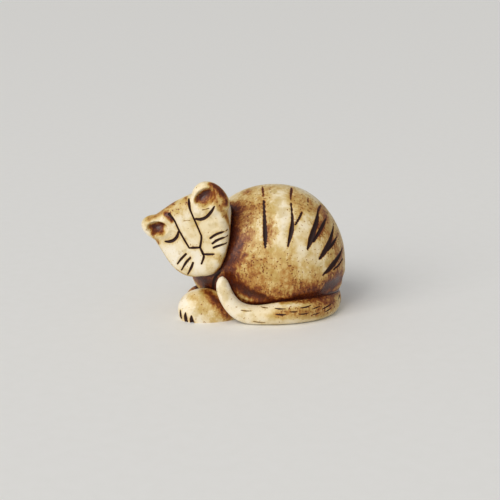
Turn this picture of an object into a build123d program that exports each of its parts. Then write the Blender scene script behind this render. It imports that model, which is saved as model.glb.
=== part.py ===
from build123d import *
import os
from math import cos, radians, sin, sqrt

# A small ceramic cat, curled up asleep with its head turned to one side and its tail
# wrapped round its feet.  It is built the way a modeller builds one: a hollow trunk with
# a vent hole under it, and a head, ears, tail and paws made as separate members and luted
# on with slip, each bedded in a seat of its own shape.
#
# Millimetres.  +X runs from the head end to the rump, the face looks towards -Y, +Z is up
# and Z = 0 is the surface that the figurine stands on.  Members are placed from the point
# on that surface below the middle of the back, and all are shifted together on export so
# that the origin lies in the middle of the whole figurine's footprint.

# Trunk: an egg lying on its side and cut flat underneath.
trunk_x = 8.0
trunk_half_width = 13.6
chest_reach = 20.5
rump_reach = 15.9
belly_height = 10.0
back_rise = 19.2
belly_drop = 12.5

# The hollow cast inside the trunk, and the hole that lets its air out in the kiln.  The
# hollow's floor lies this far above the seat of the tail.
trunk_wall = 3.0
tail_seat_wall = 1.5
vent_radius = 1.9

# Head: a hand-cut shield outline with a flat face in front and a back that narrows and sinks
# towards the nape, leaning over and turned to the side.
head_place = (-10.05, -6.2, 20.3)
head_half_width = 9.9
crown_rise = 9.0
chin_drop = 9.7
face_depth = 6.4
face_round = 2.4
nape_depth = 8.4
nape_sink = 4.0
head_lean = 24.0
head_turn = 8.0

# Its outline from the chin round past the +X cheek, as shares of the head's half width across
# and of the chin's drop or the crown's rise.  The crown's line tips a little, as on any
# hand-made piece.
head_outline = (
    (-0.22, -0.99),
    (0.11, -0.99),
    (0.36, -0.81),
    (0.65, -0.41),
    (0.85, 0.08),
    (0.95, 0.48),
    (0.88, 0.86),
    (0.50, 0.99),
    (0.04, 0.99),
    (-0.44, 0.90),
    (-0.80, 0.76),
    (-0.92, 0.38),
    (-0.88, -0.12),
    (-0.78, -0.58),
    (-0.55, -0.87),
)

# Ears: thick rounded leaves with a scooped front that stand a little proud of the face.
ear_forward = 4.6
ear_height = 5.6
ear_half_width = 4.4
ear_half_thickness = 2.4
ear_scoop_depth = 1.4
ear_rim = 1.1

# (member, place of its root across and up the head, splay from the crown's direction, shares
# of the ear's height and of its half width)
ears = (
    ("right_ear", -6.3, 4.2, -50.0, 0.9, 0.68),
    ("left_ear", 6.0, 5.0, 6.0, 1.0, 1.0),
)

# Tail: a tapering roll that leaves the rump, is laid round the foot of the trunk and ends in
# a rounded tip turned up beside the chest.
tail_root_radius = 3.4
tail_tip_radius = 1.4
tail_rest_height = 2.5
tail_rump_bed = 1.0
tail_flank_stand = 2.2
tail_root_angle = 68.0
tail_root_depth = 4.5
tail_rise_reach = 11.6
tail_tip_height = 11.0
tail_tip_share = 0.05
tail_stations = 13

# Paws: low rounded pads, flat underneath, whose toes are parted by small upright notches.
paw_half_width = 4.2
paw_toe_reach = 5.6
paw_heel_reach = 9.5
paw_rise = 4.8
paw_height = 2.2
toe_notch_radius = 0.35
toe_notch_height = 2.4
toe_notch_angles = (16, 39, 62)

# (member, X, Y, turn about Z, share of the nearer forepaw's size); the outer paws keep their
# bed in the trunk's sides when it is made wider
paws = (
    ("left_forepaw", -9.4, 4.5 - trunk_half_width, 6.0, 1.0),
    ("right_forepaw", -9.3, -1.2, -6.0, 0.8),
    ("right_hind_paw", 3.6, trunk_half_width - 1.4, -4.0, 0.85),
)


def half_ovoid(front, back, half_width, height):
    """Upper half of an egg about the origin, whose two ends along X have their own reach."""
    with BuildPart() as half:
        with BuildSketch(Plane.XY):
            with BuildLine():
                EllipticalCenterArc((0, 0), back, half_width, start_angle=0, arc_size=90)
                EllipticalCenterArc((0, 0), front, half_width, start_angle=90, arc_size=90)
                Line((-front, 0), (back, 0))
            make_face()
        revolve(axis=Axis.X, revolution_arc=180)
        scale(by=(1, 1, height / half_width))
    return half.part


def ovoid(front, back, half_width, rise, drop):
    """Egg about the origin: its upper and lower halves have their own height."""
    with BuildPart() as form:
        add(half_ovoid(front, back, half_width, rise))
        add(half_ovoid(front, back, half_width, drop).mirror(Plane.XY))
    return form.part


def trunk_form(inset=0.0, foot=0.0):
    """The trunk's outside, or a smaller copy for its hollow, cut flat at the height of foot."""
    with BuildPart() as form:
        with Locations((trunk_x, 0, belly_height)):
            add(
                ovoid(
                    chest_reach - inset,
                    rump_reach - inset,
                    trunk_half_width - inset,
                    back_rise - inset,
                    belly_drop - inset,
                )
            )
        split(bisect_by=Plane.XY.offset(foot), keep=Keep.TOP)
    return form.part


# The head's own frame: X across the face, -Y out of the face, +Z to the crown.
head_frame = Location(head_place, (0, -head_lean, -head_turn))


def head_form(grow=0.0):
    """The head without its ears; a grown one keeps the trunk's hollow clear of its seat."""
    width, crown, chin = head_half_width + grow, crown_rise + grow, chin_drop + grow
    sections = []
    for turned in (90, 60, 30, 0):
        inset = face_round * (1 - cos(radians(turned)))
        forward = face_depth + grow - face_round * (1 - sin(radians(turned)))
        sections.append((forward, width - inset, crown - inset, chin - inset, 0))
    widest = face_depth + grow - face_round
    for back in (0.25, 0.5, 0.75, 0.93, 0.99):
        narrowed = sqrt(1 - back**2)
        forward = widest - back * (widest + nape_depth + grow)
        sections.append((forward, width * narrowed, crown * narrowed, chin * narrowed, nape_sink * back))
    with BuildPart() as form:
        for forward, half, above, below, sink in sections:
            ring = [(x * half, z * (above if z > 0 else below) - sink) for x, z in head_outline]
            with BuildSketch(Plane.XZ.offset(forward)):
                with BuildLine():
                    Spline(*ring, periodic=True)
                make_face()
        loft()
    return form.part.moved(head_frame)


def ear_form(across, up, splay, rise, spread):
    """One ear with its root at a place on the crown, reaching into the head."""
    height = ear_height * rise
    half_width = ear_half_width * spread
    scoop = half_width - ear_rim
    scoop_rise = height - ear_rim
    with BuildPart() as form:
        for share in (0, 0.35, 0.65, 0.88, 0.98):
            narrow = (1 - share**2.2) ** 0.6
            with BuildSketch(Plane.XY.offset(share * height)):
                Ellipse(half_width * narrow, ear_half_thickness * narrow)
        loft()
        with Locations((0, -ear_half_thickness, 0)):
            add(
                ovoid(scoop, scoop, ear_scoop_depth, scoop_rise, scoop_rise),
                mode=Mode.SUBTRACT,
            )
    seat = Location((across, -ear_forward, up), (0, splay, 0))
    return form.part.moved(head_frame * seat)


def tail_form():
    """The tail from its root behind the rump, round the near flank, to its raised tip."""
    drop_share = (belly_height - tail_rest_height) / belly_drop
    foot_share = sqrt(1 - drop_share**2)
    rump = rump_reach * foot_share - tail_rump_bed
    flank = trunk_half_width * foot_share + tail_flank_stand
    bedded = (tail_root_angle, tail_root_depth)
    leaving = (tail_root_angle * 2 / 3, tail_root_depth / 3)
    turn_points = [
        (
            trunk_x + (rump - depth) * cos(radians(a)),
            (flank - depth) * sin(radians(a)),
            tail_rest_height,
        )
        for a, depth in (bedded, leaving, (0, 0), (-45, 0), (-90, 0))
    ]
    rising_points = [
        (trunk_x - 0.80 * tail_rise_reach, -flank, 1.3 * tail_rest_height),
        (trunk_x - tail_rise_reach, -flank, 0.55 * tail_tip_height),
        (trunk_x - 1.09 * tail_rise_reach, -0.92 * flank, tail_tip_height),
    ]
    along_trunk = [station / tail_stations for station in range(tail_stations)]
    round_the_tip = [1 - tail_tip_share * (1 - share) for share in (0, 0.5, 0.8, 0.97)]
    with BuildPart() as form:
        with BuildLine() as centreline:
            Spline(*turn_points, *rising_points)
        path = centreline.edges()[0]
        for along in along_trunk + round_the_tip:
            taper = tail_root_radius + (tail_tip_radius - tail_root_radius) * along**2
            past_tip = max(0, 1 - (1 - along) / tail_tip_share)
            with BuildSketch(Plane(origin=path @ along, z_dir=path % along)):
                Circle(taper * sqrt(1 - past_tip**2))
        loft()
        split(bisect_by=Plane.XY, keep=Keep.TOP)
    return form.part


def paw_form(x, y, turn, size):
    """A paw pad pointing towards -X before it is turned, with notches between its toes."""
    toe_reach = paw_toe_reach * size
    half_width = paw_half_width * size
    rise = paw_rise * size
    height = paw_height * size
    with BuildPart() as form:
        add(ovoid(toe_reach, paw_heel_reach * size, half_width, rise, rise))
        split(bisect_by=Plane.XY.offset(-height), keep=Keep.TOP)
        for angle in toe_notch_angles:
            toe = radians(angle)
            with Locations((-toe_reach * cos(toe), -half_width * sin(toe), -height)):
                Cylinder(
                    toe_notch_radius,
                    toe_notch_height,
                    align=(Align.CENTER, Align.CENTER, Align.MIN),
                    mode=Mode.SUBTRACT,
                )
    return form.part.moved(Location((x, y, height), (0, 0, turn)))


with BuildPart() as head:
    add(head_form())

with BuildPart() as tail:
    add(tail_form())
    add(head.part, mode=Mode.SUBTRACT)

pieces = {"head": head.part, "tail": tail.part}

for name, across, up, splay, rise, spread in ears:
    with BuildPart() as ear:
        add(ear_form(across, up, splay, rise, spread))
        add(head.part, mode=Mode.SUBTRACT)
    pieces[name] = ear.part

paw_seats = [tail.part, head.part]
for name, x, y, turn, size in paws:
    with BuildPart() as paw:
        add(paw_form(x, y, turn, size))
        for member in paw_seats:
            add(member, mode=Mode.SUBTRACT)
    paw_seats.append(paw.part)
    pieces[name] = paw.part

hollow_floor = tail_rest_height + tail_root_radius + tail_seat_wall
with BuildPart() as hollow:
    add(trunk_form(inset=trunk_wall, foot=hollow_floor))
    add(head_form(grow=trunk_wall), mode=Mode.SUBTRACT)

with BuildPart() as trunk:
    add(trunk_form())
    for member in pieces.values():
        add(member, mode=Mode.SUBTRACT)
    add(hollow.part, mode=Mode.SUBTRACT)
    with Locations((trunk_x, 0, 0)):
        Cylinder(vent_radius, 2 * hollow_floor, mode=Mode.SUBTRACT)

pieces["trunk"] = trunk.part

footprint = Compound(children=[Compound(piece.solids()) for piece in pieces.values()]).bounding_box()
to_origin = Location((-footprint.center().X, -footprint.center().Y, 0))

os.makedirs("parts", exist_ok=True)
for name, piece in pieces.items():
    placed = piece.moved(to_origin)
    placed.label = name
    export_step(placed, f"parts/{name}.step")
    print(name, len(placed.solids()), round(placed.volume, 1), placed.bounding_box())
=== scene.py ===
"""A small ceramic cat asleep on its folded paws.

It is modelled in clay as a trunk with a head, ears, tail and paws luted on, each a closed lump
that runs a little way into its neighbours.  The face, the stripes and the toes are cut into the
clay.  Brown stain is rubbed over it and wiped back, so that it stays in the cuts, the hollows
and the seams, under an ivory glaze.

Millimetres are written as numbers times MM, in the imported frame: +X runs from the head end to
the rump, the face looks towards -Y and +Z is up.
"""

import math

import bmesh
import bpy
import numpy as np
from mathutils import Matrix, Vector, noise
from mathutils.bvhtree import BVHTree


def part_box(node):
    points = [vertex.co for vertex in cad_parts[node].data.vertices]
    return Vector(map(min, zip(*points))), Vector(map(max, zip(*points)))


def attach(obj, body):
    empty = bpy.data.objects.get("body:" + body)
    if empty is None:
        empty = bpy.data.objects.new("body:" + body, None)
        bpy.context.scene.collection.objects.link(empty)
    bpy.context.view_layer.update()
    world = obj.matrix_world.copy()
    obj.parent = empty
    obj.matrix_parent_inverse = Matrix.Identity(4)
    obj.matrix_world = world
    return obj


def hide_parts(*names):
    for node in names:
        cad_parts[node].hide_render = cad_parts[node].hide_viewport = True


MM = 0.001
SLOT = "stained_ivory_glaze"

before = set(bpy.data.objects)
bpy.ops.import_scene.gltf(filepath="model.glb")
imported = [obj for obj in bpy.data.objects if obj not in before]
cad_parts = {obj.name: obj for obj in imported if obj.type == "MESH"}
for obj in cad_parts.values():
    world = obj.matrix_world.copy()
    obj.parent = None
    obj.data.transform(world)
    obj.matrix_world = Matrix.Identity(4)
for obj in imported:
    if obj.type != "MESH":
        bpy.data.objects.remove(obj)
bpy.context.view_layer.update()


def in_frame(x, y, z):
    """A point given in millimetres."""
    return Vector((x, y, z)) * MM


# ---------------------------------------------------------------- camera, lights and table


CAMERA_AIM = in_frame(1.0, 0, 13.7)
CAMERA_TILT = math.radians(15)
CAMERA_DISTANCE = 276 * MM
SUN_WAY = Vector((0.50, 0.62, -0.54))
PANE_PLACE = (-0.28, -0.62, 0.55)


def set_camera():
    data = bpy.data.cameras.new("camera")
    data.lens = 85
    data.sensor_width = 36
    data.clip_start = 0.01
    camera = bpy.data.objects.new("camera", data)
    out = Vector((0, -math.cos(CAMERA_TILT), math.sin(CAMERA_TILT)))
    camera.location = CAMERA_AIM + out * CAMERA_DISTANCE
    camera.rotation_euler = (math.pi / 2 - CAMERA_TILT, 0, 0)
    bpy.context.scene.collection.objects.link(camera)
    bpy.context.scene.camera = camera


def light_the_table():
    """A large soft window high on the left in front, in a pale room."""
    data = bpy.data.lights.new("window", "SUN")
    data.energy = 1.9
    data.angle = math.radians(50)
    data.color = (1.0, 0.975, 0.94)
    window = bpy.data.objects.new("window", data)
    window.rotation_euler = SUN_WAY.to_track_quat("-Z", "Y").to_euler()
    bpy.context.scene.collection.objects.link(window)
    data = bpy.data.lights.new("pane", "AREA")
    data.shape = "RECTANGLE"
    data.size, data.size_y = 0.10, 0.16
    data.energy = 0.55
    pane = bpy.data.objects.new("pane", data)
    pane.location = PANE_PLACE
    pane.rotation_euler = (-pane.location).to_track_quat("-Z", "Y").to_euler()
    bpy.context.scene.collection.objects.link(pane)
    world = bpy.data.worlds.new("room")
    world.use_nodes = True
    backdrop = world.node_tree.nodes["Background"]
    backdrop.inputs["Color"].default_value = (0.97, 0.98, 1.0, 1)
    backdrop.inputs["Strength"].default_value = 0.42
    bpy.context.scene.world = world
    bpy.context.scene.view_settings.view_transform = "Standard"


def lay_table():
    bm = bmesh.new()
    bmesh.ops.create_grid(bm, x_segments=1, y_segments=1, size=3)
    table = add_object(bm, "table")
    table.data.materials.append(table_finish())


# ---------------------------------------------------------------- shader maths


class Value:
    """A value in a material.  Arithmetic on it adds Math nodes to that material."""

    def __init__(self, finish, socket):
        self.finish = finish
        self.socket = socket

    def maths(self, operation, first, second):
        return self.finish.node("Math", {"operation": operation}, {0: first, 1: second})

    def __add__(self, other):
        return self.maths("ADD", self, other)

    __radd__ = __add__

    def __sub__(self, other):
        return self.maths("SUBTRACT", self, other)

    def __rsub__(self, other):
        return self.maths("SUBTRACT", other, self)

    def __mul__(self, other):
        return self.maths("MULTIPLY", self, other)

    __rmul__ = __mul__


class Finish:
    """A material being made."""

    def __init__(self, name):
        self.material = bpy.data.materials.new(name)
        self.material.use_nodes = True
        self.tree = self.material.node_tree
        self.tree.nodes.clear()

    def node(self, kind, settings, sockets, output=0):
        """Adds a node, sets its settings, then its sockets, and returns one of its outputs."""
        made = self.tree.nodes.new("ShaderNode" + kind)
        for setting, value in settings.items():
            if setting == "stops":
                made.color_ramp.elements[0].position, made.color_ramp.elements[0].color = value[0]
                made.color_ramp.elements[1].position, made.color_ramp.elements[1].color = value[-1]
                for position, color in value[1:-1]:
                    made.color_ramp.elements.new(position).color = color
            else:
                setattr(made, setting, value)
        for socket, value in sockets.items():
            if isinstance(value, Value):
                self.tree.links.new(value.socket, made.inputs[socket])
            else:
                made.inputs[socket].default_value = value
        return Value(self, made.outputs[output]) if made.outputs else None

    def mix(self, under, over, share):
        """One colour laid over another by a share."""
        rgba = {0: share, 6: under, 7: over}
        return self.node("Mix", {"data_type": "RGBA"}, rgba, output=2)

    def step(self, value, low, high):
        """0 below low, 1 above high, and smooth between."""
        sockets = {"Value": value, "From Min": low, "From Max": high}
        return self.node("MapRange", {"interpolation_type": "SMOOTHSTEP"}, sockets)

    def cloud(self, place, size, detail=3.0, roughness=0.5, distortion=0.0):
        """Noise from 0 to 1 whose largest features are about size across."""
        sockets = {
            "Vector": place,
            "Scale": 1 / size,
            "Detail": detail,
            "Roughness": roughness,
            "Distortion": distortion,
        }
        return self.node("TexNoise", {}, sockets)

    def place_in_mm(self, stretch=(1, 1, 1)):
        """The point's place on the piece, in millimetres, divided by stretch along each axis."""
        place = self.node("TexCoord", {}, {}, output="Object")
        factors = tuple(1 / (MM * s) for s in stretch)
        return self.node("VectorMath", {"operation": "MULTIPLY"}, {0: place, 1: factors})


def rgb(red, green, blue):
    """A colour chosen on screen, from 0 to 255, as the linear colour that a shader takes."""
    return tuple(((c / 255 + 0.055) / 1.055) ** 2.4 for c in (red, green, blue)) + (1,)


# How the stain colours the glaze, from the clean clay to the bottom of a cut.
STAIN_SHADES = (
    (0.0, rgb(244, 234, 213)),
    (0.10, rgb(236, 219, 180)),
    (0.24, rgb(210, 180, 114)),
    (0.40, rgb(178, 128, 60)),
    (0.56, rgb(136, 73, 25)),
    (0.74, rgb(88, 34, 10)),
    (1.0, rgb(38, 12, 3)),
)
OLIVE = rgb(186, 158, 84)
# A painted reflection: the plum sheen of the room mirrored in the deep, wet pools of stain.
PAINTED_PLUM_REFLECTION = rgb(98, 52, 50)


def glaze_finish():
    """Ivory glaze over clay whose cuts and hollows hold a brown stain.

    The pieces carry a vector named "stain": X is the stain left in the cuts, Y is how deep the
    glaze has pooled and Z is how much the wiping has left on the open clay.
    """
    make = Finish(SLOT)
    mm = make.place_in_mm()
    stain = make.node("Attribute", {"attribute_name": "stain"}, {}, output="Vector")
    parts = make.node("SeparateXYZ", {}, {0: stain})
    separate = parts.socket.node
    line, pool, wiped = (Value(make, separate.outputs[axis]) for axis in "XYZ")

    broad = make.cloud(mm, 6.0, detail=2)
    middling = make.cloud(mm, 2.2, detail=4, roughness=0.62, distortion=0.4)
    fine = make.cloud(mm, 0.6, detail=4, roughness=0.65)
    strokes = make.cloud(make.place_in_mm((0.55, 0.55, 2.4)), 1.0, detail=3, roughness=0.6)

    body = 0.11 * make.step(broad, 0.35, 0.7) + 0.10 * make.step(middling, 0.42, 0.7)
    patchy = make.step(0.4 * middling + 0.35 * strokes + 0.25 * fine, 0.36, 0.64)
    wash = 0.66 * wiped * (0.42 + 0.62 * patchy)
    uneven = 0.35 * (middling - 0.5) + 0.5 * (strokes - 0.5) + 0.25 * (fine - 0.5)
    pooled = 0.88 * make.step(pool + uneven * make.step(pool, 0.0, 0.25), 0.02, 1.0)
    cut = make.step(line + 0.3 * (fine - 0.5) * make.step(line, 0.02, 0.3), 0.08, 0.6)
    speck_field = make.cloud(mm, 0.42, detail=1, roughness=0.4)
    specks = make.step(speck_field + 0.09 * make.step(wiped, 0.0, 0.7), 0.715, 0.76)
    clean = (1 - body) * (1 - wash) * (1 - pooled) * (1 - 0.45 * specks) * (1 - cut)
    density = 1 - clean

    color = make.node("ValToRGB", {"stops": STAIN_SHADES}, {0: density})
    olive = make.step(make.cloud(mm, 3.1, detail=3), 0.52, 0.66)
    olive = olive * (1 - make.step(density, 0.3, 0.6))
    color = make.mix(color, OLIVE, 0.44 * olive)
    wet = make.step(pool, 0.45, 0.8)
    # Painted reflection: plum streaks over the deepest pools, standing in for the room mirrored in
    # the wet glaze.
    color = make.mix(color, PAINTED_PLUM_REFLECTION, 0.38 * wet * make.step(strokes, 0.5, 0.64) * (1 - cut))

    bump_height = 0.5 * middling + 0.3 * fine + 0.15 * strokes - 0.5 * specks - 0.3 * line
    bump = make.node("Bump", {}, {"Strength": 0.4, "Distance": 0.08 * MM, "Height": bump_height})
    roughness = 0.40 + 0.16 * (fine - 0.5) - 0.2 * wet + 0.25 * cut
    shader = make.node(
        "BsdfPrincipled",
        {},
        {
            "Base Color": color,
            "Roughness": roughness,
            "Normal": bump,
            "IOR": 1.38,
            "Coat Weight": 0.22 * wet * (1 - cut),
            "Coat Roughness": 0.18,
        },
    )
    make.node("OutputMaterial", {}, {"Surface": shader})
    return make.material


def table_finish():
    make = Finish("pale_table")
    mm = make.place_in_mm()
    grain = make.cloud(mm, 3.0, detail=4)
    color = make.mix(rgb(236, 235, 231), rgb(240, 239, 236), grain)
    shader = make.node("BsdfPrincipled", {}, {"Base Color": color, "Roughness": 0.75})
    make.node("OutputMaterial", {}, {"Surface": shader})
    return make.material


# ---------------------------------------------------------------- clay


def add_object(bm, name):
    mesh = bpy.data.meshes.new(name)
    bm.to_mesh(mesh)
    bm.free()
    made = bpy.data.objects.new(name, mesh)
    bpy.context.scene.collection.objects.link(made)
    return made


def cad_clay(node):
    """A mesh of a CAD node's own shape, with its loose triangles joined."""
    bm = bmesh.new()
    bm.from_mesh(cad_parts[node].data)
    bmesh.ops.remove_doubles(bm, verts=bm.verts, dist=0.001 * MM)
    return bm


def egg(place, front, back, half_width, rise, drop, turn=0.0, fineness=6):
    """An egg with its own reach each way along X, its own rise and drop, turned about Z."""
    bm = bmesh.new()
    bmesh.ops.create_icosphere(bm, subdivisions=fineness, radius=1)
    for vert in bm.verts:
        x, y, z = vert.co
        along = front if x < 0 else back
        upright = rise if z > 0 else drop
        vert.co = Vector((x * along, y * half_width, z * upright))
    bmesh.ops.transform(bm, verts=bm.verts, matrix=Matrix.Rotation(math.radians(turn), 4, "Z"))
    bmesh.ops.transform(bm, verts=bm.verts, matrix=Matrix.Translation(place))
    return bm


def cut_flat(bm, point, outward):
    """Takes away what lies beyond a plane and closes the cut."""
    everything = [*bm.verts, *bm.edges, *bm.faces]
    cut = bmesh.ops.bisect_plane(
        bm, geom=everything, plane_co=point, plane_no=outward, clear_outer=True, dist=0.001 * MM
    )
    rim = [item for item in cut["geom_cut"] if isinstance(item, bmesh.types.BMEdge)]
    for edge in rim:
        edge.smooth = False
    filled = bmesh.ops.holes_fill(bm, edges=rim)
    bmesh.ops.triangulate(bm, faces=filled["faces"])


def stand_on_table(bm):
    cut_flat(bm, Vector((0, 0, 0)), Vector((0, 0, -1)))


def knead(bm, size, depth, seed):
    """Presses soft hand-made lumps into the clay, about size across and depth deep."""
    bm.normal_update()
    shift = Vector((seed * 7.3, seed * 3.1, seed * 5.7))
    moves = [vert.normal * depth * noise.noise(vert.co / size + shift) for vert in bm.verts]
    for vert, move in zip(bm.verts, moves):
        vert.co += move


def luted(*lumps, voxel):
    """Joins lumps of clay into one skin."""
    bm = bmesh.new()
    for lump in lumps:
        mesh = bpy.data.meshes.new("lump")
        lump.to_mesh(mesh)
        lump.free()
        bm.from_mesh(mesh)
        bpy.data.meshes.remove(mesh)
    rough = add_object(bm, "rough")
    remesh = rough.modifiers.new("skin", "REMESH")
    remesh.mode = "VOXEL"
    remesh.voxel_size = voxel
    skin = bmesh.new()
    skin.from_object(rough, bpy.context.evaluated_depsgraph_get())
    bpy.data.objects.remove(rough)
    bmesh.ops.triangulate(skin, faces=skin.faces)
    return skin


def smooth(bm, rounds):
    for _ in range(rounds):
        bmesh.ops.smooth_vert(
            bm, verts=bm.verts, factor=0.5, use_axis_x=True, use_axis_y=True, use_axis_z=True
        )


# ---------------------------------------------------------------- cuts and stain


def curve_through(points, spacing=0.1 * MM):
    """Points close together along a smooth curve through a few (place, half width) pairs."""
    ends = [points[0], *points, points[-1]]
    run = []
    for before, start, end, after in zip(ends, ends[1:], ends[2:], ends[3:]):
        count = max(2, round((end[0] - start[0]).length / spacing))
        for i in range(count):
            t = i / count
            place = 0.5 * (
                2 * start[0]
                + (end[0] - before[0]) * t
                + (2 * before[0] - 5 * start[0] + 4 * end[0] - after[0]) * t * t
                + (3 * start[0] - before[0] - 3 * end[0] + after[0]) * t**3
            )
            run.append((place, start[1] + (end[1] - start[1]) * t))
    run.append(points[-1])
    return run


DRAWING_DISTANCE = 30 * MM


class Drawing:
    """A flat drawing in front of the clay: X across and Y up, seen along -Z of its place."""

    def __init__(self, place):
        self.place = place
        self.away = -(place.to_3x3() @ Vector((0, 0, 1)))

    def on(self, surface, points):
        """The drawing's points, with their half widths, laid on a surface where they meet it."""
        laid = []
        for across, up, half_width in points:
            start = self.place @ in_frame(across, up, 0)
            hit = surface.ray_cast(start, self.away)[0]
            if hit is not None:
                laid.append((hit, half_width * MM))
        return laid

    def taper(self, surface, points):
        """The same for a cut: where it runs off the clay it ends as narrow as it was drawn."""
        laid = self.on(surface, points)
        if laid:
            laid[0] = (laid[0][0], min(laid[0][1], points[0][2] * MM))
            laid[-1] = (laid[-1][0], min(laid[-1][1], points[-1][2] * MM))
        return laid


def drawing_on(across, up, out, place=Matrix.Identity(4)):
    """A drawing held out from the middle of a frame, with its X and Y along across and up."""
    axes = Matrix((across, up, out)).transposed().to_4x4()
    return Drawing(place @ Matrix.Translation(out * DRAWING_DISTANCE) @ axes)


def reach_of(bm, run):
    """For each vertex near a run, how far it is from the run as a share of its half width."""
    co = np.array([v.co[:] for v in bm.verts])
    line = np.array([place[:] for place, _ in run])
    widths = np.array([max(width, 0.02 * MM) for _, width in run])
    low, high = line.min(0) - 4 * widths.max(), line.max(0) + 4 * widths.max()
    near = np.nonzero(((co > low) & (co < high)).all(1))[0]
    shares = np.full(len(near), 9.0)
    for at in range(0, len(near), 4000):
        part = co[near[at : at + 4000]]
        apart = np.linalg.norm(part[:, None] - line[None], axis=2)
        shares[at : at + 4000] = (apart / widths[None]).min(1)
    return near, shares


def refine(bm, run, margin=1.8):
    """Halves the edges beside a run, so that the clay is fine enough to take the cut."""
    near, shares = reach_of(bm, run)
    close = set(near[shares < margin].tolist())
    bm.verts.ensure_lookup_table()
    edges = [e for e in bm.edges if e.verts[0].index in close or e.verts[1].index in close]
    bmesh.ops.subdivide_edges(bm, edges=edges, cuts=1)
    bmesh.ops.triangulate(bm, faces=[f for f in bm.faces if len(f.verts) > 3])
    bm.verts.index_update()


def stain_layer(bm):
    return bm.verts.layers.float_vector.get("stain") or bm.verts.layers.float_vector.new("stain")


def cut_line(bm, run, depth, halo, strength):
    """Cuts a V along a run and leaves stain in it, with a little on its banks."""
    bm.normal_update()
    bm.verts.ensure_lookup_table()
    layer = stain_layer(bm)
    near, shares = reach_of(bm, run)
    moves = []
    for index, share in zip(near.tolist(), shares.tolist()):
        if share > 4:
            continue
        vert = bm.verts[index]
        line, pool, wiped = vert[layer]
        line = max(line, strength * min(1, max(0, 1.55 - share)))
        wiped = max(wiped, halo * max(0, 1 - share / 4))
        vert[layer] = (line, pool, wiped)
        if share < 1.3:
            sunk = max(0, 1 - share) + 0.12 * max(0, 1.3 - share)
            moves.append((vert, vert.normal * depth * sunk))
    for vert, move in moves:
        vert.co -= move


def flood(bm, run, pool=0.0, wiped=0.0, depth=0.0):
    """Leaves glaze and stain along a run, most in the middle, and may press the clay in a little.

    A wiped share below 0 wipes that share of the stain away instead.
    """
    bm.normal_update()
    bm.verts.ensure_lookup_table()
    layer = stain_layer(bm)
    near, shares = reach_of(bm, run)
    for index, share in zip(near.tolist(), shares.tolist()):
        if share >= 1:
            continue
        vert = bm.verts[index]
        fall = (1 - share**2) ** 1.5
        line, was_pool, was_wiped = vert[layer]
        left = max(was_wiped, wiped * fall) if wiped > 0 else was_wiped * (1 + wiped * fall)
        vert[layer] = (line, max(was_pool, pool * fall), left)
        vert.co -= vert.normal * depth * fall


def soften_stain(bm, rounds):
    """Lets the pooled and the wiped stain spread a little, but not what fills the cuts."""
    layer = stain_layer(bm)
    bm.verts.index_update()
    ends = np.array([[vert.index for vert in edge.verts] for edge in bm.edges])
    stain = np.array([vert[layer][:] for vert in bm.verts])
    both = np.concatenate([ends[:, 0], ends[:, 1]])
    other = np.concatenate([ends[:, 1], ends[:, 0]])
    shares = np.bincount(both, minlength=len(stain)) + 1
    for _ in range(rounds):
        for channel in (1, 2):
            total = np.bincount(both, weights=stain[other, channel], minlength=len(stain))
            stain[:, channel] = (total + stain[:, channel]) / shares
    for vert, value in zip(bm.verts, stain.tolist()):
        vert[layer] = value


def stain_seams(bm, neighbours, reach, strength):
    """Leaves stain on the clay close to where the neighbouring members meet it."""
    layer = stain_layer(bm)
    for vert in bm.verts:
        near = [tree.find_nearest(vert.co, reach)[3] for tree in neighbours]
        near = [gap for gap in near if gap is not None]
        if near:
            fall = (1 - min(near) / reach) ** 1.3
            line, pool, wiped = vert[layer]
            around = min(1, 1.4 * strength * fall)
            vert[layer] = (line, max(pool, strength * fall), max(wiped, around))


def finish_piece(bm, name, *nodes):
    """Makes a piece of the figurine that stands for CAD nodes."""
    bmesh.ops.triangulate(bm, faces=[f for f in bm.faces if len(f.verts) > 3])
    for face in bm.faces:
        face.smooth = True
    piece = add_object(bm, name)
    piece.data.materials.append(GLAZE)
    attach(piece, "root")
    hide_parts(*nodes)


# ---------------------------------------------------------------- where the members sit

TRUNK_LOW, TRUNK_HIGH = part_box("trunk")
TRUNK_CHEST_REACH = 20.5
TRUNK_BACK_REACH = 15.9
TRUNK_HALF_WIDTH = 13.6
TRUNK_RISE = 19.2
TRUNK_DROP = 12.5
TRUNK_MIDDLE_Z = 10
TRUNK_X = TRUNK_HIGH.x / MM - TRUNK_BACK_REACH
TRUNK_Y = (TRUNK_LOW.y + TRUNK_HIGH.y) / 2 / MM

# The head's own frame: X across the face, Z to the crown and -Y out of the face.
HEAD_PLACE = in_frame(TRUNK_X - 18.05, TRUNK_Y - 6.2, 20.3)
HEAD_LEAN = -24
HEAD_TURN = -8
HEAD = (
    Matrix.Translation(HEAD_PLACE)
    @ Matrix.Rotation(math.radians(HEAD_LEAN), 4, "Y")
    @ Matrix.Rotation(math.radians(HEAD_TURN), 4, "Z")
)
RIGHT, BACK, UP = Vector((1, 0, 0)), Vector((0, 1, 0)), Vector((0, 0, 1))
FACE = drawing_on(RIGHT, UP, -BACK, HEAD)
NAPE = drawing_on(RIGHT, UP, BACK, HEAD)
NEAR_FLANK = drawing_on(RIGHT, UP, -BACK)
FAR_FLANK = drawing_on(RIGHT, UP, BACK)
RUMP = drawing_on(BACK, UP, RIGHT)
FRONT = drawing_on(BACK, UP, -RIGHT)
SPINE = drawing_on(RIGHT, BACK, UP)

# The larger ear, and its place along the head's Y.
EAR_HALF_WIDTH = 4.4
EAR_HALF_THICKNESS = 2.4
EAR_RISE = 5.6
EAR_ROOT = 3.5
EAR_FORWARD = -4.6

# The flat cut that parts an ear from the head leans from the ear's splay towards this angle.
EAR_CUT_HEIGHT = 1.3
EAR_CUT_ANGLE = 30
EAR_CUT_SHARE = 0.35

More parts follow.
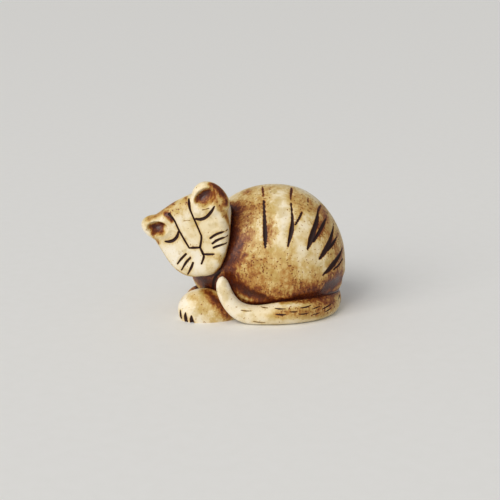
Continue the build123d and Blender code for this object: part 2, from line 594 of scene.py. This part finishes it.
# (member, place across and up the head, splay, shares of the larger ear's height and half
# width, then the thumb-pressed hollow: place across and up the head, half width, half height
# and tilt)
EARS = (
    ("right_ear", -6.3, 4.2, -50, 0.9, 0.68, (-7.0, 5.0, 2.5, 1.7, 22)),
    ("left_ear", 6.0, 5.0, 6, 1.0, 1.0, (6.1, 7.5, 3.0, 1.9, -8)),
)

# A paw of size 1: its reach to the toes and back, half width, rise and drop.
PAW_REACHES = (5.6, 9.5, 4.2, 4.8, 4.8)
PAW_ORIGIN_X = TRUNK_X - 8

# (member, X and Y from the paws' origin, turn about Z, size)
PAWS = (
    ("left_forepaw", -9.4, -9.1, 6, 1.0),
    ("right_forepaw", -9.3, -1.2, -6, 0.8),
    ("right_hind_paw", 3.6, 12.2, -4, 0.85),
)


def ear_lump(across, up, splay, rise, spread):
    half_width = EAR_HALF_WIDTH * spread * MM
    reaches = (half_width, half_width, EAR_HALF_THICKNESS * MM, EAR_RISE * rise * MM, EAR_ROOT * MM)
    lump = egg((0, 0, 0), *reaches, fineness=5)
    place = Matrix.Translation(in_frame(across, EAR_FORWARD, up))
    seat = place @ Matrix.Rotation(math.radians(splay), 4, "Y")
    bmesh.ops.transform(lump, verts=lump.verts, matrix=HEAD @ seat)
    return lump


def press_hollow(bm, across, up, half_width, half_height, tilt, front=7.0, depth=2.2):
    """Presses a thumb's hollow into the front of an ear, deepest under the rim."""
    place = HEAD @ Matrix.Translation(in_frame(across, 0, up))
    seat = place @ Matrix.Rotation(math.radians(tilt), 4, "Y")
    into = seat.inverted()
    for vert in bm.verts:
        x, y, z = into @ vert.co / MM
        share = (x / half_width) ** 2 + (z / half_height) ** 2
        if share < 1 and y < 0:
            floor = depth * math.sqrt(1 - share) * (1 + 0.35 * z / half_height) - front
            if y < floor:
                vert.co = seat @ in_frame(x, floor, z)


def model_head():
    lumps = [ear_lump(*place) for _, *place, _ in EARS]
    skin = luted(cad_clay("head"), *lumps, voxel=0.2 * MM)
    smooth(skin, 5)
    knead(skin, 6 * MM, 0.15 * MM, seed=1)
    for *_, hollow in EARS:
        press_hollow(skin, *hollow)
    smooth(skin, 3)
    return skin


def model_trunk():
    place = in_frame(TRUNK_X, TRUNK_Y, TRUNK_MIDDLE_Z)
    reaches = (TRUNK_CHEST_REACH, TRUNK_BACK_REACH, TRUNK_HALF_WIDTH, TRUNK_RISE, TRUNK_DROP)
    bm = egg(place, *(reach * MM for reach in reaches))
    knead(bm, 9 * MM, 0.35 * MM, seed=2)
    stand_on_table(bm)
    return bm


def model_tail():
    bm = luted(cad_clay("tail"), voxel=0.25 * MM)
    smooth(bm, 6)
    knead(bm, 6 * MM, 0.2 * MM, seed=3)
    stand_on_table(bm)
    return bm


def model_paw(x, y, turn, size):
    place = in_frame(PAW_ORIGIN_X + x, TRUNK_Y + y, 2.2 * size)
    reaches = [reach * size * MM for reach in PAW_REACHES]
    bm = egg(place, *reaches, turn=turn, fineness=5)
    knead(bm, 3 * MM, 0.12 * MM, seed=4 + size)
    stand_on_table(bm)
    return bm


# ---------------------------------------------------------------- marks
# Each mark is a short list of points: across, up and half its width there, in millimetres.

# The nose's bridge, its foot and the mouth.
FACE_LINES = (
    (
        (2.4, 8.4, 0.14), (2.2, 7.6, 0.28), (1.9, 6.4, 0.20), (1.8, 5.2, 0.17),
        (1.7, 0.8, 0.16), (1.5, -0.6, 0.19), (0.2, -2.6, 0.22),
    ),
    (
        (-3.0, 7.0, 0.32), (-2.5, 5.4, 0.17), (-2.5, 2.8, 0.17),
        (-2.3, 0.2, 0.19), (-2.1, -1.8, 0.15),
    ),
    ((-2.1, -1.8, 0.15), (-1.2, -2.1, 0.24), (0.2, -2.6, 0.22)),
    ((0.2, -2.4, 0.22), (0.2, -4.3, 0.24)),
    ((0.2, -4.3, 0.22), (1.3, -4.8, 0.22), (2.4, -5.2, 0.16)),
    ((0.2, -4.3, 0.22), (0.0, -5.0, 0.22), (-1.1, -6.2, 0.17)),
)
EYES = (
    ((2.1, 3.8, 0.18), (3.1, 3.3, 0.30), (4.4, 3.3, 0.30), (6.0, 4.0, 0.29), (7.3, 4.9, 0.14)),
    ((-6.5, 1.6, 0.16), (-5.6, 1.2, 0.30), (-4.5, 1.2, 0.30), (-3.5, 1.7, 0.28), (-2.7, 2.6, 0.15)),
)
WHISKERS = (
    ((3.3, -1.5, 0.20), (4.6, -1.2, 0.24), (5.9, -1.2, 0.23), (7.3, -1.4, 0.12)),
    ((3.2, -2.8, 0.20), (4.5, -2.5, 0.24), (5.6, -2.5, 0.22), (6.8, -2.7, 0.12)),
    ((3.0, -3.8, 0.20), (4.0, -3.8, 0.23), (5.0, -3.9, 0.20), (6.0, -4.1, 0.12)),
    ((-3.4, -2.8, 0.21), (-4.8, -3.4, 0.23), (-6.2, -4.2, 0.14)),
    ((-2.9, -4.0, 0.20), (-4.2, -4.6, 0.24), (-6.0, -5.9, 0.14)),
    ((-2.8, -5.3, 0.20), (-3.7, -6.2, 0.24), (-5.2, -7.4, 0.14)),
)
EYELID_SCRATCHES = (
    ((4.5, 5.2, 0.07), (6.1, 5.0, 0.07)),
    ((-0.6, 4.4, 0.05), (0.9, 4.0, 0.05)),
)
# (points, pool, wiped)
HEAD_WASH = (
    (((-7.8, 7.8, 1.3), (-4.4, 8.0, 1.7), (-1.6, 8.6, 1.9), (1.4, 9.2, 1.7)), 0.06, 0.8),
    (((-2.6, 7.2, 1.4), (0.4, 7.2, 1.9), (1.2, 8.6, 1.4)), 0.0, 0.5),
    (((-3.9, 7.4, 1.0), (-3.2, 6.4, 0.8), (-3.0, 5.2, 0.5)), 0.75, 0.9),
    (((1.7, 8.8, 0.8), (1.9, 7.2, 0.6)), 0.55, 0.7),
    (((4.0, 7.4, 1.1), (5.4, 7.8, 1.3), (7.0, 8.2, 1.2)), 0.78, 1.0),
    (((4.8, 6.6, 1.3), (6.8, 7.0, 1.5), (8.4, 7.6, 1.3)), 0.42, 0.95),
    (((4.6, 6.0, 1.2), (7.6, 6.2, 1.4)), 0.0, 0.7),
    (
        (
            (8.4, 9.4, 1.2), (9.4, 8.0, 1.5), (9.9, 6.2, 1.5),
            (9.7, 4.4, 1.3), (9.4, 2.6, 1.0),
        ),
        0.5,
        0.95,
    ),
    (((7.8, 7.4, 1.2), (8.2, 5.4, 1.1), (8.3, 3.4, 0.9)), 0.12, 0.85),
    (
        (
            (8.4, 2.6, 1.1), (8.5, 0.6, 1.1), (7.8, -1.8, 1.1),
            (6.4, -4.2, 1.2), (4.4, -6.8, 1.3),
        ),
        0.22,
        0.85,
    ),
    (((3.2, -5.6, 1.0), (3.0, -7.4, 1.2)), 0.0, 0.45),
    (((-8.6, 5.8, 0.8), (-7.2, 5.1, 1.2), (-5.4, 5.5, 1.0)), 0.7, 0.95),
    (((-8.3, 4.3, 1.1), (-7.0, 4.4, 1.4), (-6.6, 3.6, 1.1)), 0.62, 0.95),
    (((-8.4, 3.2, 1.0), (-8.3, 1.8, 0.8)), 0.0, 0.7),
    (((-8.8, 1.4, 0.9), (-8.3, -2.6, 1.0), (-7.4, -5.6, 1.0), (-4.8, -8.4, 1.0)), 0.0, 0.45),
    (((-3.4, -9.4, 0.9), (0.0, -9.9, 0.9), (2.6, -9.0, 1.0)), 0.3, 0.7),
)

STRIPES = (
    ((4.1, 26.9, 0.18), (4.2, 24.9, 0.22), (4.3, 22.6, 0.32), (4.4, 20.2, 0.42), (4.4, 17.5, 0.12)),
    (
        (10.2, 26.8, 0.14), (10.4, 24.9, 0.16), (10.5, 22.9, 0.28),
        (10.3, 21.2, 0.44), (9.9, 19.6, 0.34), (9.4, 17.7, 0.10),
    ),
    ((12.7, 24.6, 0.16), (12.1, 23.6, 0.20), (11.2, 22.3, 0.14)),
    (
        (17.0, 27.0, 0.10), (16.9, 26.0, 0.28), (16.5, 24.4, 0.38), (16.1, 22.6, 0.44),
        (15.3, 20.6, 0.54), (14.7, 19.0, 0.60), (13.8, 16.8, 0.10),
    ),
    (
        (19.9, 24.8, 0.08), (18.8, 23.2, 0.26), (17.5, 21.4, 0.36),
        (16.4, 20.0, 0.34), (15.3, 18.5, 0.24),
    ),
    (
        (20.6, 22.0, 0.06), (20.2, 20.8, 0.16), (19.6, 18.9, 0.36),
        (18.6, 17.0, 0.54), (17.7, 15.7, 0.52), (16.5, 14.3, 0.10),
    ),
    ((21.9, 19.4, 0.06), (21.3, 18.6, 0.18), (19.9, 17.2, 0.34), (18.6, 16.1, 0.26)),
    (
        (22.8, 16.4, 0.06), (22.4, 15.4, 0.20), (21.2, 13.8, 0.46),
        (19.8, 12.5, 0.58), (18.8, 11.6, 0.46), (17.5, 10.7, 0.10),
    ),
    ((22.3, 12.8, 0.16), (21.2, 11.9, 0.24), (20.0, 11.4, 0.12)),
)
# Where the stripes run on over the back: X, Y and half width, with the near side below 0.
SPINE_STROKES = (
    ((4.1, -6.2, 0.15), (4.0, -4.4, 0.24), (3.9, -2.4, 0.28), (3.9, -0.8, 0.08)),
    ((10.2, -6.2, 0.10), (10.3, -4.4, 0.26), (10.5, -2.4, 0.32), (10.5, -0.8, 0.08)),
    ((14.0, -6.4, 0.08), (14.2, -4.4, 0.18), (14.3, -2.4, 0.08)),
    ((16.5, -4.8, 0.36), (17.0, -3.2, 0.34), (17.4, -1.2, 0.10)),
)
SPINE_WASH = (
    (((4.9, -6.4, 1.2), (4.8, -3.6, 1.4), (4.7, -0.6, 1.2)), 0.0, 0.8, 0.0),
    (((10.8, -6.2, 1.0), (10.9, -3.6, 1.2), (10.9, -0.6, 1.0)), 0.2, 0.85, 0.0),
    (((14.2, -5.4, 1.0), (14.4, -2.4, 1.0)), 0.1, 0.8, 0.0),
    (((17.2, -5.4, 1.6), (17.8, -3.2, 1.6), (18.0, -0.6, 1.3)), 0.4, 0.95, 0.0),
)
# Loose strokes of stain beside the cuts, and one broad wash that is partly painted shade: (points,
# pool, wiped, how deep they press the clay)
FLANK_STAIN_AND_SHADE = (
    (((0.0, 13.0, 8.0), (8.0, 11.0, 9.0), (16.0, 10.0, 9.0)), 0.0, 0.44, 0.0),
    # Stain and painted shade: a broad wash that darkens the rump end of the flank, the side turned
    # away from the window.
    (((15.0, 25.0, 6.5), (20.0, 18.0, 8.0), (21.0, 8.0, 8.0)), 0.0, 0.54, 0.0),
    (((2.0, 28.0, 6.0), (8.0, 29.0, 5.0)), 0.0, 0.3, 0.0),
    (((0.9, 26.8, 2.0), (2.8, 26.2, 1.6), (4.6, 26.4, 1.2)), 0.0, 0.74, 0.0),
    (((2.0, 25.2, 1.6), (1.3, 21.2, 1.3), (0.7, 17.6, 1.5)), 0.05, 0.8, 0.0),
    (((5.2, 26.6, 1.2), (5.7, 23.6, 1.1)), 0.14, 0.85, 0.0),
    (((5.5, 23.6, 1.0), (5.6, 21.2, 1.5), (5.1, 18.6, 1.0)), 0.95, 1.0, 0.22),
    (((10.3, 28.4, 0.9), (10.6, 25.6, 0.8)), 0.3, 0.8, 0.08),
    (((11.5, 25.4, 1.2), (11.2, 23.2, 1.0)), 0.08, 0.85, 0.0),
    (((14.0, 27.3, 1.0), (14.3, 26.3, 0.8)), 0.3, 0.8, 0.0),
    (((16.1, 26.5, 0.8), (16.5, 24.8, 0.9)), 0.45, 0.85, 0.06),
    (((18.4, 25.2, 1.5), (18.2, 23.6, 1.9), (17.2, 21.6, 1.8), (15.9, 19.4, 1.3)), 0.5, 1.0, 0.0),
    (((21.0, 20.4, 1.7), (19.9, 17.9, 1.7), (18.5, 16.1, 1.3)), 0.5, 1.0, 0.0),
    (((22.4, 14.4, 1.7), (20.9, 12.7, 1.6), (19.4, 11.8, 1.3)), 0.5, 1.0, 0.0),
    (((19.6, 22.6, 2.0), (21.6, 18.0, 2.2), (22.6, 12.0, 2.2)), 0.1, 0.7, 0.0),
    (((4.9, 17.4, 1.5), (3.8, 15.6, 2.2), (2.0, 13.6, 2.2)), 0.1, 0.95, 0.0),
    (((10.5, 16.4, 2.2), (10.0, 13.4, 3.0), (10.2, 10.4, 3.2)), 0.0, 0.72, 0.0),
    (((2.2, 9.4, 2.3), (6.0, 7.6, 2.3), (9.4, 7.6, 2.5), (12.4, 9.2, 2.8)), 0.1, 0.9, 0.0),
    (((14.0, 8.6, 2.3), (16.6, 8.9, 2.3), (18.8, 10.2, 2.3)), 0.1, 0.9, 0.0),
)
# The crease between the near flank and the tail.
CREASE_WASH = (
    (((10.9, 7.2, 1.5), (13.4, 7.0, 1.6), (16.5, 6.8, 1.5)), 0.6, 1.0, 0.0),
    (((2.4, 6.1, 1.8), (5.0, 5.4, 1.3), (9.3, 5.0, 1.1), (11.8, 5.4, 1.4)), 0.95, 1.0, 0.2),
    (
        (
            (11.6, 5.4, 1.4), (15.0, 5.7, 1.8), (17.4, 6.1, 2.0),
            (19.4, 6.9, 2.4), (21.8, 8.0, 2.9),
        ),
        0.86,
        1.0,
        0.35,
    ),
)
# Where the stain is wiped off between the stripes.
PALE_BANDS = (
    (((7.5, 28.0, 1.8), (7.6, 24.0, 2.1), (7.4, 20.0, 2.2), (7.0, 16.6, 1.8)), 0.0, -0.95, 0.0),
    (((13.4, 24.8, 1.2), (12.9, 20.6, 1.6), (12.2, 17.6, 1.9), (11.6, 15.6, 1.5)), 0.0, -0.85, 0.0),
    (((17.6, 18.6, 0.9), (16.6, 16.4, 1.4), (15.4, 14.4, 1.6)), 0.0, -0.8, 0.0),
    (((19.6, 14.6, 0.9), (18.2, 13.0, 1.3), (16.4, 11.6, 1.5)), 0.0, -0.75, 0.0),
    (((3.0, 22.4, 0.9), (2.9, 19.6, 1.0), (2.9, 17.4, 0.8)), 0.0, -0.6, 0.0),
)
NECK_WASH = (
    (
        (
            (-5.5, 26.6, 2.6), (-2.6, 25.0, 3.0), (-3.0, 20.4, 2.9),
            (-3.4, 16.0, 2.8), (-4.0, 10.5, 3.0),
        ),
        0.85,
        1.0,
        0.0,
    ),
    (((0.9, 25.8, 1.1), (0.6, 21.9, 0.9), (-0.3, 18.0, 0.9), (-1.0, 14.6, 1.0)), 0.75, 0.95, 0.1),
    (((-3.0, 27.2, 2.2), (-0.6, 27.6, 1.8), (1.6, 28.6, 1.2)), 0.5, 0.95, 0.0),
    (((-0.8, 16.2, 1.9), (0.2, 13.2, 2.6), (0.8, 10.4, 2.6)), 0.08, 0.95, 0.0),
    (((-12.0, 9.6, 3.8), (-8.5, 8.0, 4.2), (-5.0, 8.0, 3.2)), 0.7, 1.0, 0.0),
    (((-4.3, 10.6, 1.6), (-1.6, 8.4, 2.2), (0.4, 7.2, 2.2), (2.6, 6.2, 1.8)), 1.0, 1.0, 0.45),
)
FAR_WASH = (
    (((-4.5, 12.0, 6.0), (-1.5, 18.0, 6.0), (0.0, 24.0, 5.0)), 0.0, 0.4, 0.0),
    (((-6.5, 9.0, 2.6), (-2.5, 6.6, 2.2), (3.0, 5.6, 1.6)), 0.75, 1.0, 0.3),
    (((-7.0, 5.0, 2.0), (-3.0, 3.4, 2.0), (3.0, 2.6, 1.6), (9.0, 2.6, 1.6)), 0.5, 0.9, 0.0),
    (((7.0, 15.0, 3.4), (12.5, 11.0, 3.6), (11.0, 7.0, 3.0)), 0.0, 0.0, -0.45),
)
RUMP_WASH = (
    (((-9.0, 8.4, 2.4), (-3.0, 7.6, 1.8), (3.0, 7.2, 1.5), (8.5, 6.8, 2.0)), 0.8, 1.0, 0.25),
    (((-8.0, 20.0, 5.0), (0.0, 22.0, 4.5), (8.0, 20.0, 5.0)), 0.0, 0.42, 0.0),
    (((-5.0, 13.5, 5.0), (5.0, 13.5, 5.0)), 0.0, 0.42, 0.0),
)
SHOULDER_STRIPES = (
    ((-1.6, 24.4, 0.08), (-2.1, 22.0, 0.34), (-2.9, 19.4, 0.44), (-4.2, 16.6, 0.08)),
    ((-4.2, 20.6, 0.08), (-5.2, 18.2, 0.32), (-6.6, 15.6, 0.08)),
)
CHEST_LINE = ((-5.8, 11.4, 0.16), (-7.0, 9.6, 0.30), (-7.4, 7.4, 0.30), (-7.2, 5.6, 0.16))
HAUNCH_LINE = (
    (14.5, 5.6, 0.20),
    (15.0, 9.8, 0.42),
    (11.5, 13.2, 0.50),
    (6.0, 13.6, 0.44),
    (1.5, 10.6, 0.16),
)

TOES = (
    ((-14.8, 2.6, 0.10), (-14.8, 1.9, 0.30), (-14.7, 0.9, 0.34)),
    ((-13.6, 2.3, 0.12), (-13.6, 1.4, 0.36), (-13.5, 0.3, 0.40)),
    ((-12.2, 1.8, 0.12), (-12.2, 0.9, 0.38), (-12.1, 0.1, 0.42)),
)
PAW_WASH = (
    (
        (
            (-11.0, 7.4, 1.1), (-8.8, 6.8, 1.5), (-6.7, 5.0, 1.4),
            (-5.1, 2.6, 1.3), (-3.6, 0.5, 1.1),
        ),
        0.85,
        1.0,
    ),
    (((-13.9, 5.6, 0.8), (-12.4, 5.9, 1.0), (-10.6, 5.4, 1.2)), 0.2, 0.75),
    (((-10.4, 4.6, 1.2), (-8.6, 2.4, 1.4), (-7.4, 0.6, 1.4)), 0.0, 0.6),
    (((-14.6, 1.2, 1.0), (-12.2, 0.8, 1.2)), 0.0, 0.45),
)
TAIL_DASHES = (
    ((6.6, 4.2, 0.08), (7.6, 4.1, 0.17), (9.0, 4.1, 0.05)),
    ((6.8, 3.0, 0.08), (8.0, 2.9, 0.20), (9.1, 2.9, 0.05)),
    ((12.3, 4.1, 0.07), (13.6, 4.1, 0.17), (14.8, 4.3, 0.05)),
    ((11.9, 2.8, 0.07), (13.0, 2.7, 0.14), (14.3, 2.8, 0.05)),
    ((17.5, 3.0, 0.07), (18.6, 3.2, 0.16), (19.8, 3.5, 0.05)),
    ((17.9, 2.1, 0.06), (18.9, 2.3, 0.14), (19.6, 2.5, 0.05)),
    ((-1.0, 3.8, 0.05), (0.1, 3.6, 0.09), (1.4, 3.6, 0.04)),
    ((1.8, 1.2, 0.06), (3.0, 1.0, 0.10), (4.4, 1.0, 0.05)),
    ((3.4, 4.3, 0.05), (4.2, 4.2, 0.12), (5.0, 4.2, 0.04)),
    ((9.9, 3.5, 0.05), (10.8, 3.4, 0.15), (11.6, 3.4, 0.05)),
    ((15.2, 3.5, 0.05), (16.0, 3.6, 0.14), (16.9, 3.7, 0.05)),
    ((14.9, 2.2, 0.05), (15.9, 2.2, 0.12), (16.8, 2.3, 0.05)),
)
TAIL_WASH = (
    (
        (
            (-3.2, 9.8, 0.9), (-2.4, 7.6, 1.0), (-0.3, 5.7, 1.0),
            (3.4, 5.0, 1.0), (8.4, 5.1, 1.0), (13.4, 5.0, 1.1),
        ),
        0.4,
        0.85,
    ),
    (((13.4, 5.0, 1.1), (18.7, 4.9, 1.3), (21.0, 4.6, 1.6)), 0.45, 0.9),
    (((-6.7, 9.0, 0.8), (-6.8, 6.2, 1.0), (-5.6, 3.8, 1.1), (-3.8, 1.6, 1.1)), 0.2, 0.75),
    (((7.0, 3.2, 1.8), (12.0, 3.3, 2.0), (16.0, 3.0, 2.6), (20.5, 3.0, 3.4)), 0.0, 0.72),
    (((16.0, 3.6, 1.6), (20.0, 3.8, 2.4), (22.4, 4.0, 2.8)), 0.16, 0.9),
)
TAIL_ROOT_WASH = (
    (((-8.0, 3.4, 3.0), (0.0, 3.6, 3.0), (8.0, 3.8, 3.0)), 0.0, 0.6),
    (((-7.0, 4.9, 1.4), (0.0, 5.6, 1.4), (7.0, 6.0, 1.4)), 0.35, 0.9),
)
TAIL_ROOT_DASHES = (
    ((-5.6, 3.4, 0.07), (-4.2, 3.7, 0.17), (-2.8, 3.7, 0.05)),
    ((-4.6, 2.2, 0.06), (-3.4, 2.3, 0.14), (-2.4, 2.3, 0.05)),
    ((0.4, 4.2, 0.07), (1.8, 4.4, 0.16), (3.2, 4.4, 0.05)),
    ((1.2, 2.8, 0.07), (2.4, 2.8, 0.14), (3.8, 3.0, 0.05)),
)
NAPE_WASH = (
    (((7.2, 9.0, 2.0), (8.4, 6.4, 2.2), (8.0, 2.0, 2.0)), 0.35, 0.95),
    (((-8.6, 6.8, 1.8), (-6.6, 6.0, 2.0), (-4.8, 7.6, 1.6)), 0.25, 0.9),
    (((-4.0, 6.6, 3.2), (1.5, 7.4, 3.2), (6.0, 6.0, 3.0)), 0.0, 0.6),
    (((-6.8, 0.6, 3.2), (-5.8, -4.6, 3.0), (-2.5, -7.6, 2.6)), 0.0, 0.5),
)
NAPE_STRIPES = (
    ((-3.4, 7.2, 0.08), (-3.2, 5.2, 0.32), (-2.8, 3.2, 0.08)),
    ((0.4, 7.8, 0.08), (0.6, 5.4, 0.40), (0.8, 3.0, 0.08)),
    ((3.8, 7.0, 0.08), (3.9, 5.0, 0.30), (4.0, 3.4, 0.08)),
)
HIND_TOES = (
    ((-1.3, 2.2, 0.12), (-1.3, 1.4, 0.32), (-1.3, 0.5, 0.34)),
    ((-0.2, 2.0, 0.12), (-0.2, 1.2, 0.34), (-0.2, 0.3, 0.38)),
    ((1.1, 1.7, 0.12), (1.1, 0.9, 0.34), (1.1, 0.2, 0.38)),
)
FRONT_TOES = (
    ((-1.9, 2.2, 0.12), (-1.9, 1.4, 0.30), (-1.9, 0.4, 0.34)),
    ((-0.9, 2.4, 0.12), (-0.9, 1.5, 0.30), (-0.9, 0.4, 0.34)),
    ((0.2, 2.2, 0.12), (0.2, 1.4, 0.30), (0.2, 0.4, 0.34)),
)
SMALL_PAW_WASH = ((((-13.0, 4.4, 1.2), (-10.0, 4.8, 2.0), (-7.0, 3.0, 2.4)), 0.4, 0.9),)
HIND_PAW_WASH = (
    (((-1.2, 1.0, 1.2), (1.0, 1.0, 1.2)), 0.0, 0.5),
    (((3.0, 5.6, 2.0), (7.0, 4.0, 2.4)), 0.4, 0.9),
)


def carve(bm, drawing, points, depth, halo=0.25, strength=1.0):
    """Cuts one drawn mark into the clay."""
    laid = drawing.taper(BVHTree.FromBMesh(bm), points)
    if len(laid) > 1:
        run = curve_through(laid)
        refine(bm, run)
        cut_line(bm, run, depth, halo, strength)


def wash(bm, drawing, points, pool, wiped, depth=0.0):
    """Leaves stain along one drawn mark."""
    laid = drawing.on(BVHTree.FromBMesh(bm), points)
    if len(laid) > 1:
        flood(bm, curve_through(laid, 0.3 * MM), pool, wiped, depth * MM)


def wash_all(bm, *washes):
    for drawing, marks in washes:
        for mark in marks:
            wash(bm, drawing, *mark)
    soften_stain(bm, 5)


def carve_all(bm, depth, halo, *cuts, strength=1.0):
    for drawing, marks in cuts:
        for points in marks:
            carve(bm, drawing, points, depth * MM, halo, strength)


def mark_head(bm):
    wash_all(bm, (FACE, HEAD_WASH), (NAPE, NAPE_WASH))
    carve_all(bm, 0.22, 0.25, (FACE, FACE_LINES + EYES + WHISKERS))
    carve_all(bm, 0.05, 0.1, (FACE, EYELID_SCRATCHES), strength=0.7)
    carve_all(bm, 0.22, 0.6, (NAPE, NAPE_STRIPES), strength=0.9)


def mirrored(marks):
    """The same marks on the other side of the spine."""
    return tuple(tuple((x, -y, half_width) for x, y, half_width in points) for points in marks)


def mark_trunk(bm):
    wash_all(
        bm,
        (SPINE, SPINE_WASH),
        (NEAR_FLANK, FLANK_STAIN_AND_SHADE + CREASE_WASH + NECK_WASH + PALE_BANDS),
        (FAR_FLANK, FLANK_STAIN_AND_SHADE + FAR_WASH + PALE_BANDS),
        (RUMP, RUMP_WASH),
    )
    carve_all(bm, 0.34, 0.55, (NEAR_FLANK, STRIPES), (FAR_FLANK, STRIPES + SHOULDER_STRIPES))
    carve_all(bm, 0.12, 0.6, (SPINE, SPINE_STROKES + mirrored(SPINE_STROKES)), strength=0.5)
    carve_all(bm, 0.3, 0.25, (NEAR_FLANK, (CHEST_LINE,)))
    carve_all(bm, 0.4, 0.5, (FAR_FLANK, (HAUNCH_LINE,)))
    soften_stain(bm, 2)


def mark_tail(bm):
    wash_all(bm, (NEAR_FLANK, TAIL_WASH), (RUMP, TAIL_ROOT_WASH))
    carve_all(bm, 0.08, 0.4, (NEAR_FLANK, TAIL_DASHES), (RUMP, TAIL_ROOT_DASHES), strength=0.75)


def mark_paws(left_fore, right_fore, right_hind):
    wash_all(left_fore, (NEAR_FLANK, PAW_WASH))
    carve_all(left_fore, 0.3, 0.3, (NEAR_FLANK, TOES))
    wash_all(right_fore, (NEAR_FLANK, SMALL_PAW_WASH))
    carve_all(right_fore, 0.25, 0.3, (FRONT, FRONT_TOES))
    wash_all(right_hind, (FAR_FLANK, HIND_PAW_WASH))
    carve_all(right_hind, 0.25, 0.3, (FAR_FLANK, HIND_TOES))


def part_ears_from_head(bm):
    """Parts the finished head along a flat cut below each ear, and yields each piece by name."""
    for name, across, up, splay, *_ in EARS:
        seat = HEAD @ Matrix.Translation(in_frame(across, 0, up))
        angle = splay + EAR_CUT_SHARE * (EAR_CUT_ANGLE - splay)
        lean = Matrix.Rotation(math.radians(angle), 4, "Y")
        point = seat @ lean @ in_frame(0, 0, EAR_CUT_HEIGHT)
        outward = (seat @ lean).to_3x3() @ Vector((0, 0, 1))
        ear = bm.copy()
        cut_flat(ear, point, -outward)
        cut_flat(bm, point, outward)
        yield name, ear
    yield "head", bm


# ---------------------------------------------------------------- the making

set_camera()
light_the_table()
lay_table()
GLAZE = glaze_finish()

members = {"head": model_head(), "trunk": model_trunk(), "tail": model_tail()}
for paw_name, *paw_place in PAWS:
    members[paw_name] = model_paw(*paw_place)
surfaces = {name: BVHTree.FromBMesh(bm) for name, bm in members.items()}

mark_head(members["head"])
mark_trunk(members["trunk"])
mark_tail(members["tail"])
mark_paws(members["left_forepaw"], members["right_forepaw"], members["right_hind_paw"])

# (member, the neighbours that it meets, how far the stain reaches from them, strength)
SEAMS = (
    ("head", ("trunk",), 2.2, 0.95),
    ("tail", ("trunk", "left_forepaw"), 0.9, 0.8),
    ("left_forepaw", ("trunk", "tail"), 1.2, 0.9),
    ("right_forepaw", ("trunk", "left_forepaw"), 1.6, 0.9),
    ("right_hind_paw", ("trunk",), 1.4, 0.9),
    ("trunk", ("head", "tail", "left_forepaw", "right_forepaw", "right_hind_paw"), 1.8, 0.95),
)
for name, neighbours, reach, strength in SEAMS:
    stain_seams(members[name], [surfaces[n] for n in neighbours], reach * MM, strength)

for name, bm in part_ears_from_head(members.pop("head")):
    finish_piece(bm, name + "_clay", name)
for name, bm in members.items():
    finish_piece(bm, name + "_clay", name)
